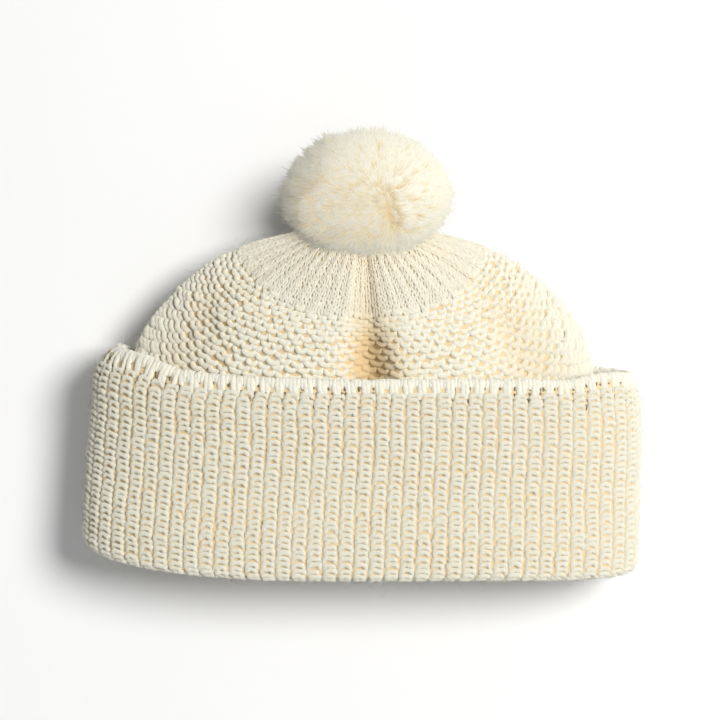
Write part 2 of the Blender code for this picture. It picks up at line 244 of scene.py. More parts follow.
# The pompom. Its strands part along a line on its top, which the photograph shows.
POMPOM_SIZE = np.array([POMPOM_WIDTH, POMPOM_LENGTH, POMPOM_DEPTH])
POMPOM_CENTRE = np.array(
    [POMPOM_SHIFT, TIP_Y + POMPOM_PROUD - POMPOM_LENGTH / 2, POMPOM_DEPTH / 2 - POMPOM_PRESS]
)
POMPOM_FLOOR = 0.0003
CORE_SHARE = 0.90
CORE_FINENESS = 6
CORE_DEPTH = 0.45
CORE_ROUGHNESS = 0.004
MIDDLE_FINENESS = 4
MIDDLE_SHARE = 0.68
STRANDS_ABOVE = 21000
STRANDS_BELOW = 6000
STRAY_STRANDS = 2000
STRAND_LENGTH = 0.0060
STRAY_LENGTH = 0.0070
STRAND_SPREAD = 0.20
STRAND_RADIUS = 0.00023
STRAND_TAPER = 0.75
STRAND_ARCH = 0.05
STRAND_BEND = 0.08
STRAND_SINK = 0.015
STRAND_NOISE = 0.17
STRAND_SCATTER = 0.01
STRAND_SIDES = 3
ROOT_SHADE = 0.9
CLUMPING = 0.62
RIM_HEIGHT = 0.4
RIM_CLUMPING = 0.4
OWN_SHADING = 1.9
UP_SHADING = 1.25
UP_START = 0.8
Locks = namedtuple("Locks", "ways reaches leans tips")
LOCKS = 700
LOCK_SCATTER = 0.02
LOCK_LENGTH = 0.0055
LOCK_UNEVENNESS = 0.020
LOCK_DOME = 0.036
LOCK_LEAN = 0.14
CLOSE_SIDE = 0.6
CLOSE_START = 0.15
CLOSE_REACH = 0.35
LOBE_WAY = (-0.17, -0.40, 0.90)
LOBE_ANGLE = 33.0
LOBE_EDGE = 1.4
LOBE_RISE = 0.16
LOBE_LEVEL = 0.6
LOBE_SHADE = 0.55
LOBE_SHADE_START = -0.3
LOBE_SHADE_REACH = 0.25
BEHIND_TURN = 0.42
PARTING_START = (0.0100, 0.0625, 0.070)
PARTING_END = (0.0152, 0.0455, 0.060)
PARTING_SINK = 0.10
PARTING_WIDTH = 0.0014
CREASE_SHADE = 1.5
TILT_TOP = 64.0
TILT_EDGE = 50.0
TILT_REACH = 0.026
TILT_PARTING = 0.4

# The tie, two plies twisted, with its knot inside the crown.
TIE_RADIUS = 0.0026
TIE_REACH = 0.011
TIE_TURN = 0.009
TIE_POINTS = 60
TIE_SIDES = 8
TIE_DEPTH = 0.3
TIE_INSETS = (0.0012, 0.0004)
KNOT_RADIUS = 0.0045
KNOT_LENGTH = 0.010
KNOT_DROP = 0.0005
KNOT_YARN = 0.0014
KNOT_TAPER = 0.0012
KNOT_TURNS = 2
KNOT_ENDS = 2.2

# Loose fibres that stand off the yarn.
FIBRES = 4600
FIBRE_LENGTH = 0.0042
FIBRE_SPREAD = 0.35
FIBRE_RADIUS = 0.00008
FIBRE_CURL = 0.9
FIBRE_POINTS = 3
FIBRE_ROOT = 0.0004
FIBRE_LIFTS = (0.15, 0.9)

SEED = 11

# The photograph's camera: straight above, its axis a little to the left of the hat's middle.
CAMERA_HEIGHT = 1.30
CAMERA_X = -0.0006
CAMERA_Y = -0.0030
VIEW_WIDTH = 0.3074
VIEW_PLANE = 0.030
SENSOR = 0.036
MILLIMETRES = 1000

# Wool. Colours are linear, and the darker tans are painted shade: they show down between the stitches, where
# little light comes.
TAN = (0.68, 0.53, 0.31)
WARM_SHADE_TAN = (0.72, 0.55, 0.31)
Wool = namedtuple("Wool", "light warm deep scatter fibre_scale depth_start depth_end")
# One cream yarn, with painted light: the edge, the crown and the fine knit take lighter copies of the cuff's
# cream, as they are more brightly lit.
KNIT = Wool((0.745, 0.722, 0.612), (0.735, 0.69, 0.55), TAN, 0.25, 1400.0, 0.12, 0.55)
EDGE = Wool((0.85, 0.825, 0.71), (0.83, 0.79, 0.65), TAN, 0.25, 1400.0, 0.20, 0.60)
CROWN = Wool((0.81, 0.783, 0.668), (0.825, 0.775, 0.62), (0.76, 0.61, 0.38), 0.25, 1400.0, 0.20, 0.55)
FINE = Wool((0.80, 0.77, 0.655), (0.78, 0.725, 0.58), (0.80, 0.65, 0.41), 0.0, 1800.0, 0.10, 0.40)
# The ground's tan is painted shade: it shows between the stitches, where little light comes.
GROUND = Wool((0.75, 0.61, 0.39), (0.68, 0.54, 0.33), TAN, 0.0, 1400.0, 0.2, 1.4)
POMPOM = Wool((0.79, 0.775, 0.69), (0.77, 0.74, 0.60), (0.64, 0.54, 0.35), 0.0, 2000.0, 0.10, 0.75)
WOOL_SURFACE = {
    "Roughness": 0.92,
    "Specular IOR Level": 0.18,
    "Sheen Weight": 0.18,
    "Sheen Roughness": 0.45,
    "Sheen Tint": (1.0, 0.98, 0.92, 1.0),
    "Subsurface Radius": (1.0, 0.88, 0.62),
    "Subsurface Scale": 0.0015,
}
BLOTCHES = {"Scale": 90.0, "Detail": 3.0}
FIBRE_NOISE = {"Detail": 4.0, "Roughness": 0.7}
WOOL_RELIEF = {"Strength": 0.6, "Distance": 0.0004}

# The studio: one large lamp up to the right, behind the pompom, and a pale surround.
Lamp = namedtuple("Lamp", "name place size power colour")
LAMPS = [
    Lamp("key", (1.36, 0.54, 2.15), 1.25, 69.0, (1.0, 0.99, 0.97)),
    Lamp("fill", (-0.35, -1.10, 0.60), 1.00, 1.8, (0.97, 0.99, 1.0)),
]
LAMP_TARGET = (0.0, 0.0, 0.02)
SKY_COLOUR = (0.96, 0.98, 1.0)
SKY_STRENGTH = 0.28
FLOOR_HALF = 3.0
FLOOR_COLOUR = (0.91, 0.91, 0.91)
FLOOR_MOTTLE = 0.985
FLOOR_SURFACE = {"Roughness": 0.8, "Specular IOR Level": 0.1}
FLOOR_NOISE = {"Scale": 6.0}

rng = np.random.default_rng(SEED)


def unit(vectors):
    return vectors / np.maximum(np.linalg.norm(vectors, axis=-1, keepdims=True), 1e-12)


def smooth(place, places, values):
    """A smooth curve through a table's points, read at this place."""
    places, values = np.asarray(places, float), np.asarray(values, float)
    slopes = np.gradient(values, places)
    low = np.clip(np.searchsorted(places, place) - 1, 0, len(places) - 2)
    gap = places[low + 1] - places[low]
    t = np.clip((place - places[low]) / gap, 0.0, 1.0)
    level = (1 + 2 * t) * (1 - t) ** 2 * values[low] + t**2 * (3 - 2 * t) * values[low + 1]
    return level + gap * (t * (1 - t) ** 2 * slopes[low] - t**2 * (1 - t) * slopes[low + 1])


def ring_points(ring, inset, count):
    """Evenly spaced points round a section, clockwise seen from the mouth, from the front centre."""
    angle = np.linspace(0, 2 * math.pi, RING_SAMPLES)
    across, up = np.sin(angle), np.cos(angle)
    top = 2 / (2 + TOP_SQUARENESS * ring.squareness)
    bottom = 2 / (2 + BOTTOM_SQUARENESS * ring.squareness)
    exponent = np.where(up > 0, top, bottom)
    across = np.sign(across) * np.abs(across) ** exponent
    up = np.sign(up) * np.abs(up) ** exponent
    half_depth = np.where(up > 0, ring.front_z - ring.middle_z, ring.middle_z - ring.back_z)
    z = np.maximum(ring.middle_z + (half_depth - inset) * up, inset)
    end_y = np.where(up > 0, ring.front_y, ring.back_y)
    y = ring.side_y + (end_y - ring.side_y) * np.abs(z - ring.middle_z) / half_depth
    x = ring.shift + (ring.half_width - inset) * across
    y = y - ring.roll * ((x - ring.shift) / ring.half_width) ** 3
    points = np.stack([x, y, z], 1)
    lengths = np.concatenate([[0], np.cumsum(np.linalg.norm(np.diff(points, axis=0), axis=1))])
    target = np.arange(count) / count * lengths[-1]
    return np.stack([np.interp(target, lengths, points[:, i]) for i in range(3)], 1), lengths[-1]


def cuff_section(height, inset, level=False):
    """The cuff's section at this height above the mouth. A level inset goes straight in from each point
    of the outer face, and otherwise the points are spread evenly again."""
    heights = [row.height for row in CUFF_ROWS]
    share = height / CUFF_HEIGHT
    names = ("width", "depth", "lean")
    width, depth, lean = (smooth(share, heights, [getattr(row, n) for row in CUFF_ROWS]) for n in names)
    side_y = MOUTH_Y + height
    ring = Ring(
        side_y=side_y,
        front_y=side_y - MOUTH_DIP - (EDGE_DIP - MOUTH_DIP) * share,
        back_y=side_y + MOUTH_LIFT * (1 - share),
        half_width=width * CUFF_WIDTH / 2,
        front_z=depth * CUFF_DEPTH,
        back_z=0.0,
        middle_z=CUFF_MIDDLE * CUFF_DEPTH,
        shift=lean * CUFF_LEAN,
        roll=SIDE_ROLL,
        squareness=1.0,
    )
    if not level:
        return raise_corners(ring_points(ring, inset, SKIN_COLUMNS)[0], ring, share)
    points = ring_points(ring, 0.0, SKIN_COLUMNS)[0]
    around = unit(np.roll(points, -1, axis=0) - np.roll(points, 1, axis=0))
    inward = unit(np.stack([around[:, 2], np.zeros(len(points)), -around[:, 0]], 1))
    return raise_corners(points + inset * inward, ring, share)


def raise_corners(points, ring, share):
    """Takes the front of the cuff's edge out a little at both corners, where it meets the back."""
    out = (np.abs(points[:, 0] - ring.shift) / ring.half_width - CORNER_START) / (CORNER_END - CORNER_START)
    front = np.clip((points[:, 2] - ring.middle_z) / (ring.front_z - ring.middle_z), 0, 1)
    near_edge = np.clip((share - CORNER_LOW) / (1 - CORNER_LOW), 0, 1)
    points[:, 1] += CORNER_RISE * np.clip(out, 0, 1) * front * near_edge
    return points


def crown_section(place):
    """The crown's section at this place among its rows, with its length round and its fold's measures."""
    places = np.arange(len(CROWN_ROWS))
    row = CrownRow(*(smooth(place, places, [getattr(r, n) for r in CROWN_ROWS]) for n in CrownRow._fields))
    side_y = MOUTH_Y + row.side * CROWN_LENGTH
    ring = Ring(
        side_y=side_y,
        front_y=side_y - row.dip * CROWN_LENGTH,
        back_y=side_y + row.lift * CROWN_LENGTH,
        half_width=row.width * CROWN_WIDTH / 2,
        front_z=row.front * CROWN_DEPTH,
        back_z=row.back * CROWN_DEPTH,
        middle_z=row.middle * CROWN_DEPTH,
        shift=CROWN_SHIFT,
        roll=SIDE_ROLL * row.roll,
        squareness=max(row.squareness, 0.0),
    )
    points, length = ring_points(ring, 0.0, SKIN_COLUMNS)
    return points, length, row


class Skin:
    """A surface that runs round the hat in columns and along it in rows, with its outward normals.
    It is read at u, the share of the way round, and v, the distance along it."""

    def __init__(self, rows, facing):
        self.points = np.array(rows)
        self.facing = facing
        steps = np.linalg.norm(np.diff(self.points, axis=0), axis=2).mean(axis=1)
        self.v = np.concatenate([[0], np.cumsum(steps)])
        self.normals = self.find_normals()
        loops = np.linalg.norm(self.points - np.roll(self.points, 1, axis=1), axis=2)
        self.girths = loops.sum(axis=1)
        # Painted shade: how shut in the surface is, which warms and darkens its colour.
        self.hollow = np.zeros(self.points.shape[:2])

    def find_normals(self):
        along = np.gradient(self.points, axis=0)
        around = np.roll(self.points, -1, axis=1) - np.roll(self.points, 1, axis=1)
        return unit(np.cross(around, along) * self.facing)

    def displace(self, depth):
        """Moves every point in along the normals by this depth, then finds the normals again."""
        self.points = self.points - self.normals * depth[:, :, None]
        self.normals = self.find_normals()

    def read_painted_shade(self, u, v):
        """The painted shade at u and v: how shut in the surface is, from 0 in the open to about 1."""
        row = np.clip(np.interp(v, self.v, np.arange(len(self.v))).astype(int), 0, len(self.v) - 1)
        return self.hollow[row, (np.mod(u, 1.0) * self.hollow.shape[1]).astype(int)]

    def girth(self, v):
        return np.interp(v, self.v, self.girths)

    def lean(self, u, v):
        """How far the lines along the hat lean against its rows, at u and v, as a slope."""
        line = (self.read(u, v + SKIN_STEP)[0] - self.read(u, v - SKIN_STEP)[0]) / (2 * SKIN_STEP)
        row = self.read(u + 1 / SKIN_COLUMNS, v)[0] - self.read(u - 1 / SKIN_COLUMNS, v)[0]
        return np.sum(line * unit(row), axis=-1)

    def read(self, u, v, lift=0.0):
        """Points and normals at u and v, this far out from the surface."""
        row = np.interp(v, self.v, np.arange(len(self.v)))
        column = np.mod(u, 1.0) * self.points.shape[1]
        below = np.clip(np.floor(row).astype(int), 0, len(self.v) - 2)
        row_share = (row - below)[..., None]
        left = np.floor(column).astype(int) % self.points.shape[1]
        right = (left + 1) % self.points.shape[1]
        column_share = (column - np.floor(column))[..., None]
        found = []
        for grid in (self.points, self.normals):
            low = grid[below, left] * (1 - column_share) + grid[below, right] * column_share
            high = grid[below + 1, left] * (1 - column_share) + grid[below + 1, right] * column_share
            found.append(low * (1 - row_share) + high * row_share)
        normal = unit(found[1])
        return found[0] + normal * np.asarray(lift)[..., None], normal


def cuff_path():
    """Heights and insets along the cuff's face: from inside its top edge, over the rim, down to the
    mouth, round the fold and up the inner leg. Returns them with the row of the rim, and the row of the
    outer face that lies level with the tucked edge."""
    rim = KNIT_WALL / 2
    path = [(height, KNIT_WALL) for height in np.arange(CUFF_HEIGHT - TUCK, CUFF_HEIGHT - rim, SKIN_STEP)]
    for angle in np.linspace(0, math.pi, RIM_STEPS):
        path.append((CUFF_HEIGHT - rim + rim * math.sin(angle), rim + rim * math.cos(angle)))
    rim_row = len(path) - (RIM_STEPS + 1) // 2
    tucked = len(path) + int(TUCK / SKIN_STEP)
    path += [(height, 0.0) for height in np.arange(CUFF_HEIGHT - rim - SKIN_STEP, FOLD_RADIUS, -SKIN_STEP)]
    for angle in np.linspace(0, math.pi, MOUTH_STEPS):
        path.append((FOLD_RADIUS * (1 - math.sin(angle)), FOLD_RADIUS * (1 - math.cos(angle))))
    path += [(height, 2 * FOLD_RADIUS) for height in np.arange(FOLD_RADIUS + SKIN_STEP, SEAM_LEG, SKIN_STEP)]
    path.append((SEAM_LEG, 2 * FOLD_RADIUS))
    return path, rim_row, tucked


def make_cuff_skin():
    path, rim_row, tucked = cuff_path()
    skin = Skin([cuff_section(height, inset, i < tucked) for i, (height, inset) in enumerate(path)], -1)
    return skin, skin.v[rim_row], tucked


def fold_depths(lengths, rows):
    """How far the folds draw the crown in, for every row and column of its skin."""
    shares = np.arange(SKIN_COLUMNS) / SKIN_COLUMNS
    depths = np.zeros((len(rows), SKIN_COLUMNS))
    for i, row in enumerate(rows):
        for fold in CROWN_FOLDS:
            away = (shares - fold.place + 0.5) % 1.0 - 0.5
            width = FOLD_WIDTH * row.fold_width * fold.width
            depth = fold.depth * row.fold * FOLD_SHARE * FOLD_DEPTH
            depths[i] += depth * np.exp(-((away * lengths[i] / width) ** 2))
        flutes = 0.5 - 0.5 * np.cos(2 * math.pi * shares * GATHERS)
        depths[i] += max(row.gather, 0.0) * GATHER_SHARE * GATHER_RELIEF * flutes
    return depths


def make_crown_skins():
    """The crown's face from inside the cuff to the tip, and the hollow's face from the seam to the tip."""
    places = np.arange(CROWN_START, len(CROWN_ROWS) - 1 + 1e-6, FACE_STEP)
    sections, lengths, rows = zip(*(crown_section(place) for place in places))
    face = Skin(sections, 1)
    depths = fold_depths(lengths, rows)
    tip = places[-1] - places
    sink = TIP_SINK * np.exp(-(tip**2) / TIP_SPREAD)
    face.displace(depths + sink[:, None])
    # Painted shade: a warm tan in the fold, spread to its right over the shaded wall, and round the tip under
    # the pompom.
    near_tip = np.clip((CROWN_SHADE_END - tip) / CROWN_SHADE_END, 0, 1) ** 2
    shifted = [(1 - FOLD_SHADE_FADE * shift) * np.roll(depths, shift, axis=1) for shift in FOLD_SHADE_SHIFTS]
    spread = np.max(shifted, axis=0)
    face.hollow = FOLD_SHADE_STRENGTH * (spread / FOLD_DEPTH) ** FOLD_SHADE_BEND + TIP_SHADE_STRENGTH * near_tip[:, None]
    inner_places = np.arange(0.0, len(CROWN_ROWS) - HOLLOW_END, HOLLOW_STEP)
    sections, lengths, rows = zip(*(crown_section(place) for place in inner_places))
    lining = Skin(sections, 1)
    lining.displace(fold_depths(lengths, rows) + KNIT_WALL)
    seam = [cuff_section(SEAM_LEG + share * SEAM_LEG, 2 * FOLD_RADIUS) for share in SEAM_SHARES]
    hollow = Skin(seam + list(lining.points), 1)
    edge_v, fine_v = np.interp((EDGE_START, FINE_START), places, face.v)
    return face, hollow, edge_v, fine_v


def fuzz_ways(normals, sides):
    """The ways that yarn shades toward: its form's, and upward where that faces up."""
    lift = YARN_LIFT * np.clip(normals[..., 2:] + YARN_LIFT_START, 0, 1) * np.array([0, 0, 1])
    return YARN_SOFTNESS * np.repeat(unit(normals + lift).reshape(-1, 3), sides, axis=0)


def soften(mesh, toward):
    """Turns a mesh's normals partly toward these ways, as the fuzz of wool spreads the light. The
    shape stays as it is."""
    own = np.empty(len(mesh.vertices) * 3, np.float32)
    mesh.vertices.foreach_get("normal", own)
    mesh.normals_split_custom_set_from_vertices(unit(own.reshape(-1, 3) + toward))


def new_mesh(name, points, faces, attributes, material, body_slot):
    """A smooth mesh that rides on the hat. Faces are arrays, each with its own
    number of corners, and attributes are one number a point, by name. The one named toward is a way a
    point, for its shading. Nothing goes below the floor."""
    points = np.array(points, np.float32)
    points[:, 2] = np.maximum(points[:, 2], 0.0)
    mesh = bpy.data.meshes.new(name)
    mesh.vertices.add(len(points))
    mesh.vertices.foreach_set("co", points.ravel())
    corners = np.concatenate([group.ravel() for group in faces]).astype(np.int32)
    sizes = np.concatenate([np.full(len(group), group.shape[1]) for group in faces])
    mesh.loops.add(len(corners))
    mesh.loops.foreach_set("vertex_index", corners)
    mesh.polygons.add(len(sizes))
    mesh.polygons.foreach_set("loop_start", (np.cumsum(sizes) - sizes).astype(np.int32))
    mesh.update(calc_edges=True)
    mesh.shade_smooth()
    for key, values in attributes.items():
        if key == "toward":
            soften(mesh, values)
            continue
        layer = mesh.attributes.new(key, "FLOAT", "POINT")
        layer.data.foreach_set("value", np.asarray(values, np.float32))
    mesh.materials.append(material)
    obj = bpy.data.objects.new(name, mesh)
    bpy.context.scene.collection.objects.link(obj)
    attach(obj, "root")
    return obj


def side_angles(sides):
    return 2 * math.pi * (np.arange(sides) + 0.5) / sides


def tube_mesh(centres, normals, radii, sides):
    """Closed tubes along many paths at once: centres and normals are (paths, points, 3), radii (paths,
    points). Returns points, faces, and how far out of its path each point lies."""
    paths, count = centres.shape[:2]
    tangents = unit(np.gradient(centres, axis=1))
    side = unit(np.cross(tangents, normals))
    up = np.cross(side, tangents)
    angles = side_angles(sides)
    ring = np.cos(angles)[:, None] * up[:, :, None, :] + np.sin(angles)[:, None] * side[:, :, None, :]
    points = centres[:, :, None, :] + ring * radii[:, :, None, None]
    outs = np.cos(angles) * radii[:, :, None]
    index = np.arange(paths * count * sides).reshape(paths, count, sides)
    low, high = index[:, :-1, :], index[:, 1:, :]
    walls = np.stack([low, np.roll(low, -1, axis=2), np.roll(high, -1, axis=2), high], axis=-1)
    faces = [walls.reshape(-1, 4), index[:, 0, ::-1], index[:, -1, :]]
    return points.reshape(-1, 3), faces, outs.reshape(-1)


def ply_attributes(centres, sides):
    """Where each point of the tubes lies round its yarn and along it, which places the plies."""
    steps = np.linalg.norm(np.diff(centres, axis=1), axis=2)
    run = np.concatenate([np.zeros((len(centres), 1)), np.cumsum(steps, axis=1)], axis=1)
    run = run + rng.uniform(0, PLY_TURN, (len(centres), 1))
    angles = side_angles(sides)
    return {
        "ply_run": np.repeat(run.ravel(), sides),
        "ply_up": np.tile(np.cos(angles), run.size),
        "ply_side": np.tile(np.sin(angles), run.size),
    }


def join(parts):
    """One mesh's points, faces and attributes from several."""
    points, faces, attributes, offset = [], [], {}, 0
    for part_points, part_faces, part_attributes in parts:
        points.append(part_points)
        faces += [group + offset for group in part_faces]
        offset += len(part_points)
        for key, values in part_attributes.items():
            attributes.setdefault(key, []).append(values)
    return np.concatenate(points), faces, {key: np.concatenate(found) for key, found in attributes.items()}


def yarn(skin, u, v, across, along, lift, radii, sides):
    """Tubes on a skin. u and v place each stitch, (stitches,); across, along and lift shape its path,
    (stitches, points), in metres. Returns points, faces and attributes."""
    wander = rng.normal(0, PATH_WANDER, (3, *along.shape))
    v_path = v[:, None] + along + wander[0]
    across = across - along * skin.lean(u[:, None] * np.ones_like(along), v[:, None] + along / 2) + wander[1]
    u_path = u[:, None] + across / skin.girth(v_path)
    radii = radii * (1 + rng.normal(0, THICKNESS_WANDER, radii.shape))
    centres, normals = skin.read(u_path, v_path, lift + 0.5 * wander[2])
    points, faces, outs = tube_mesh(centres, normals, radii, sides)
    # The yarn's distance below the skin sets its painted shade between the stitches, and how shut in it is a
    # warm painted shade.
    attributes = {
        "depth": -(np.repeat(lift.ravel(), sides) + outs) / KNIT_WALL,
        "hollow": np.repeat(skin.read_painted_shade(u_path, v_path).ravel(), sides),
        "tint": np.repeat(rng.random(len(u)), lift.shape[1] * sides),
    }
    attributes.update(ply_attributes(centres, sides))
    attributes["toward"] = fuzz_ways(normals, sides)
    return points, faces, attributes


def jitter(count, points, amount):
    """A small wander for each stitch, the same along all of its path."""
    return np.repeat(rng.normal(0, amount, (count, 1)), points, axis=1)


def hump(step, width):
    return np.exp(-((step / width) ** 2))


def tucked_in(step, stitch):
    """How far each point of a stitch has gone behind its neighbours, from 0 to 1."""
    return np.clip((np.abs(step) - stitch.tuck_start) / (1 - stitch.tuck_start), 0, 1) ** stitch.tuck_bend


def arch_stitches(skin, u, v, pitch, sides, count):
    """The cuff's stitches: a wide arch whose two fat legs tuck behind the next course."""
    step = np.linspace(-1, 1, count)[None, :]
    size = 1 + rng.normal(0, ARCH.unevenness, (len(u), 1))
    lean = rng.normal(0, ARCH_LEAN, (len(u), 1))
    width = pitch[:, None]
    across = ARCH.span * width * np.tanh(ARCH_ROUNDNESS * step) * size
    across = across + lean * YARN_RADIUS + jitter(len(u), count, STITCH_SCATTER)
    along = COURSE * (ARCH.top - ARCH.reach * np.abs(step) ** ARCH.bend) * size
    along = along + jitter(len(u), count, STITCH_SCATTER)
    waist = hump(step, ARCH_WAIST)
    groove = RIB_RELIEF * (2 * across / width) ** 2
    lift = CREST - YARN_RADIUS * (1.0 + ARCH_WAIST_SINK * waist + ARCH.tuck * tucked_in(step, ARCH)) - groove
    lift = lift + jitter(len(u), count, 0.6 * STITCH_SCATTER)
    shoulder = ARCH_SHOULDER * hump(np.abs(step) - ARCH_SHOULDER_PLACE, ARCH_SHOULDER_REACH)
    radii = YARN_RADIUS * (1 + shoulder - ARCH_WAIST_SLIM * waist - 0.2 * step**6) * size
    return yarn(skin, u, v, across, -along, lift, radii, sides)


def cup_stitches(skin, u, v, pitch, sides, count):
    """The crown's honeycomb stitches: a cup, open towards the tip, whose ends tuck behind the next ones."""
    step = np.linspace(-1, 1, count)[None, :]
    size = 1 + rng.normal(0, CUP.unevenness, (len(u), 1))
    scale = np.clip(pitch[:, None] / CROWN_PITCH, *CUP_SCALES)
    across = CUP.span * pitch[:, None] * (step + CUP_FLARE * np.sin(math.pi * step)) * size
    across = across + jitter(len(u), count, 1.6 * STITCH_SCATTER)
    along = WAFFLE_COURSE * (CUP.top + CUP.reach * np.abs(step) ** CUP.bend) * size
    along = along + jitter(len(u), count, 1.6 * STITCH_SCATTER)
    lift = CREST - CUP_RADIUS * (1.0 + CUP.tuck * tucked_in(step, CUP))
    lift = lift + jitter(len(u), count, 1.2 * STITCH_SCATTER)
    radii = CUP_RADIUS * (1 - 0.06 * step**2 - 0.22 * step**4) * size * scale
    return yarn(skin, u, v, across, along, lift, radii, sides)


def leg_stitches(skin, u, v, pitch, side_of, sides, count):
    """One leg of each fine stitch of the crown's gathered top."""
    step = np.linspace(-1, 1, count)[None, :]
    width = pitch[:, None]
    across = side_of * width * (LEG_PLACE + LEG_SPLAY * step) + jitter(len(u), count, 0.4 * STITCH_SCATTER)
    along = FINE_COURSE * LEG_REACH * step + jitter(len(u), count, 0.5 * STITCH_SCATTER)
    lift = CREST - FINE_RADIUS * (1.0 + 0.9 * step**2 * (step > 0) + 0.35 * step**2)
    radii = np.minimum(FINE_RADIUS, LEG_SHARE * width) * (1 - 0.2 * step**4)
    return yarn(skin, u, v, across, along, lift * np.ones_like(across), radii, sides)


def grid_quads(rows, columns):
    """Quads of a grid that closes on itself round the hat and along it."""
    low = np.arange(rows * columns).reshape(rows, columns)
    high = np.roll(low, -1, axis=0)
    return np.stack([low, np.roll(low, -1, axis=1), np.roll(high, -1, axis=1), high], axis=-1).reshape(-1, 4)


def knit_back(u, v):
    """The depth of the knit inside the hat: a groove between wales and a dip after each course."""
    wale = 0.5 - 0.5 * np.cos(2 * math.pi * u * CUFF_WALES)
    course = 0.5 - 0.5 * np.cos(2 * math.pi * v / COURSE)
    return 1 - (1 - 0.8 * wale**2) * (1 - 0.6 * course**2)


def set_inputs(node, values):
    for key, value in values.items():
        node.inputs[key].default_value = value


def new_material(name, surface):
    """A material with these values on its shader. Returns it with its node tree and its shader."""
    material = bpy.data.materials.new(name)
    material.use_nodes = True
    shader = material.node_tree.nodes["Principled BSDF"]
    set_inputs(shader, surface)
    return material, material.node_tree, shader


def connect(tree, value, socket):
    """Feeds a socket from another node's output, or sets it to a number."""
    if isinstance(value, bpy.types.NodeSocket):
        tree.links.new(value, socket)
    else:
        socket.default_value = value


def read_attribute(tree, name):
    node = tree.nodes.new("ShaderNodeAttribute")
    node.attribute_name = name
    return node.outputs["Fac"]


def add_math(tree, operation, *values):
    node = tree.nodes.new("ShaderNodeMath")
    node.operation = operation
    for value, socket in zip(values, node.inputs):
        connect(tree, value, socket)
    return node.outputs["Value"]


def add_noise(tree, values):
    """Noise fixed to the object."""
    where = tree.nodes.new("ShaderNodeTexCoord")
    node = tree.nodes.new("ShaderNodeTexNoise")
    set_inputs(node, values)
    tree.links.new(where.outputs["Object"], node.inputs["Vector"])
    return node.outputs["Fac"]


def add_mix(tree, factor, first, second):
    """A blend of two colours, each a colour or a node's output."""
    node = tree.nodes.new("ShaderNodeMix")
    node.data_type = "RGBA"
    tree.links.new(factor, node.inputs["Factor"])
    for value, key in ((first, "A"), (second, "B")):
        connect(tree, (*value, 1.0) if isinstance(value, tuple) else value, node.inputs[key])
    return node.outputs["Result"]


def add_ply_waves(tree):
    """A wave that winds round the yarn, one crest for each ply."""
    angle = add_math(tree, "ARCTAN2", read_attribute(tree, "ply_side"), read_attribute(tree, "ply_up"))
    turns = add_math(tree, "MULTIPLY", read_attribute(tree, "ply_run"), 2 * math.pi * PLIES / PLY_TURN)
    return add_math(tree, "SINE", add_math(tree, "MULTIPLY_ADD", angle, float(PLIES), turns))


def wool_material(name, wool):
    """Cream wool with painted shade: warmer and darker down between the stitches and where the knit is shut
    in, mottled, and fibrous to the light.
    """
    surface = {**WOOL_SURFACE, "Subsurface Weight": wool.scatter}
    material, tree, shader = new_material(name, surface)
    # Painted shade: the lower the yarn lies below the skin, the more of the darker tan; where the knit is
    # shut in, a warm tan.
    span = tree.nodes.new("ShaderNodeMapRange")
    set_inputs(span, {"From Min": wool.depth_start, "From Max": wool.depth_end})
    span.interpolation_type = "SMOOTHSTEP"
    tree.links.new(read_attribute(tree, "depth"), span.inputs["Value"])
    vary = add_math(tree, "MULTIPLY", read_attribute(tree, "tint"), add_noise(tree, BLOTCHES))
    cream = add_mix(tree, vary, wool.light, wool.warm)
    shade = add_mix(tree, span.outputs["Result"], cream, wool.deep)
    with_painted_shade = add_mix(tree, read_attribute(tree, "hollow"), shade, WARM_SHADE_TAN)
    tree.links.new(with_painted_shade, shader.inputs["Base Color"])

    fibre = add_noise(tree, {"Scale": wool.fibre_scale, **FIBRE_NOISE})
    relief = tree.nodes.new("ShaderNodeBump")
    set_inputs(relief, WOOL_RELIEF)
    height = add_math(tree, "MULTIPLY_ADD", add_ply_waves(tree), PLY_RELIEF, fibre)
    tree.links.new(height, relief.inputs["Height"])
    tree.links.new(relief.outputs["Normal"], shader.inputs["Normal"])
    return material


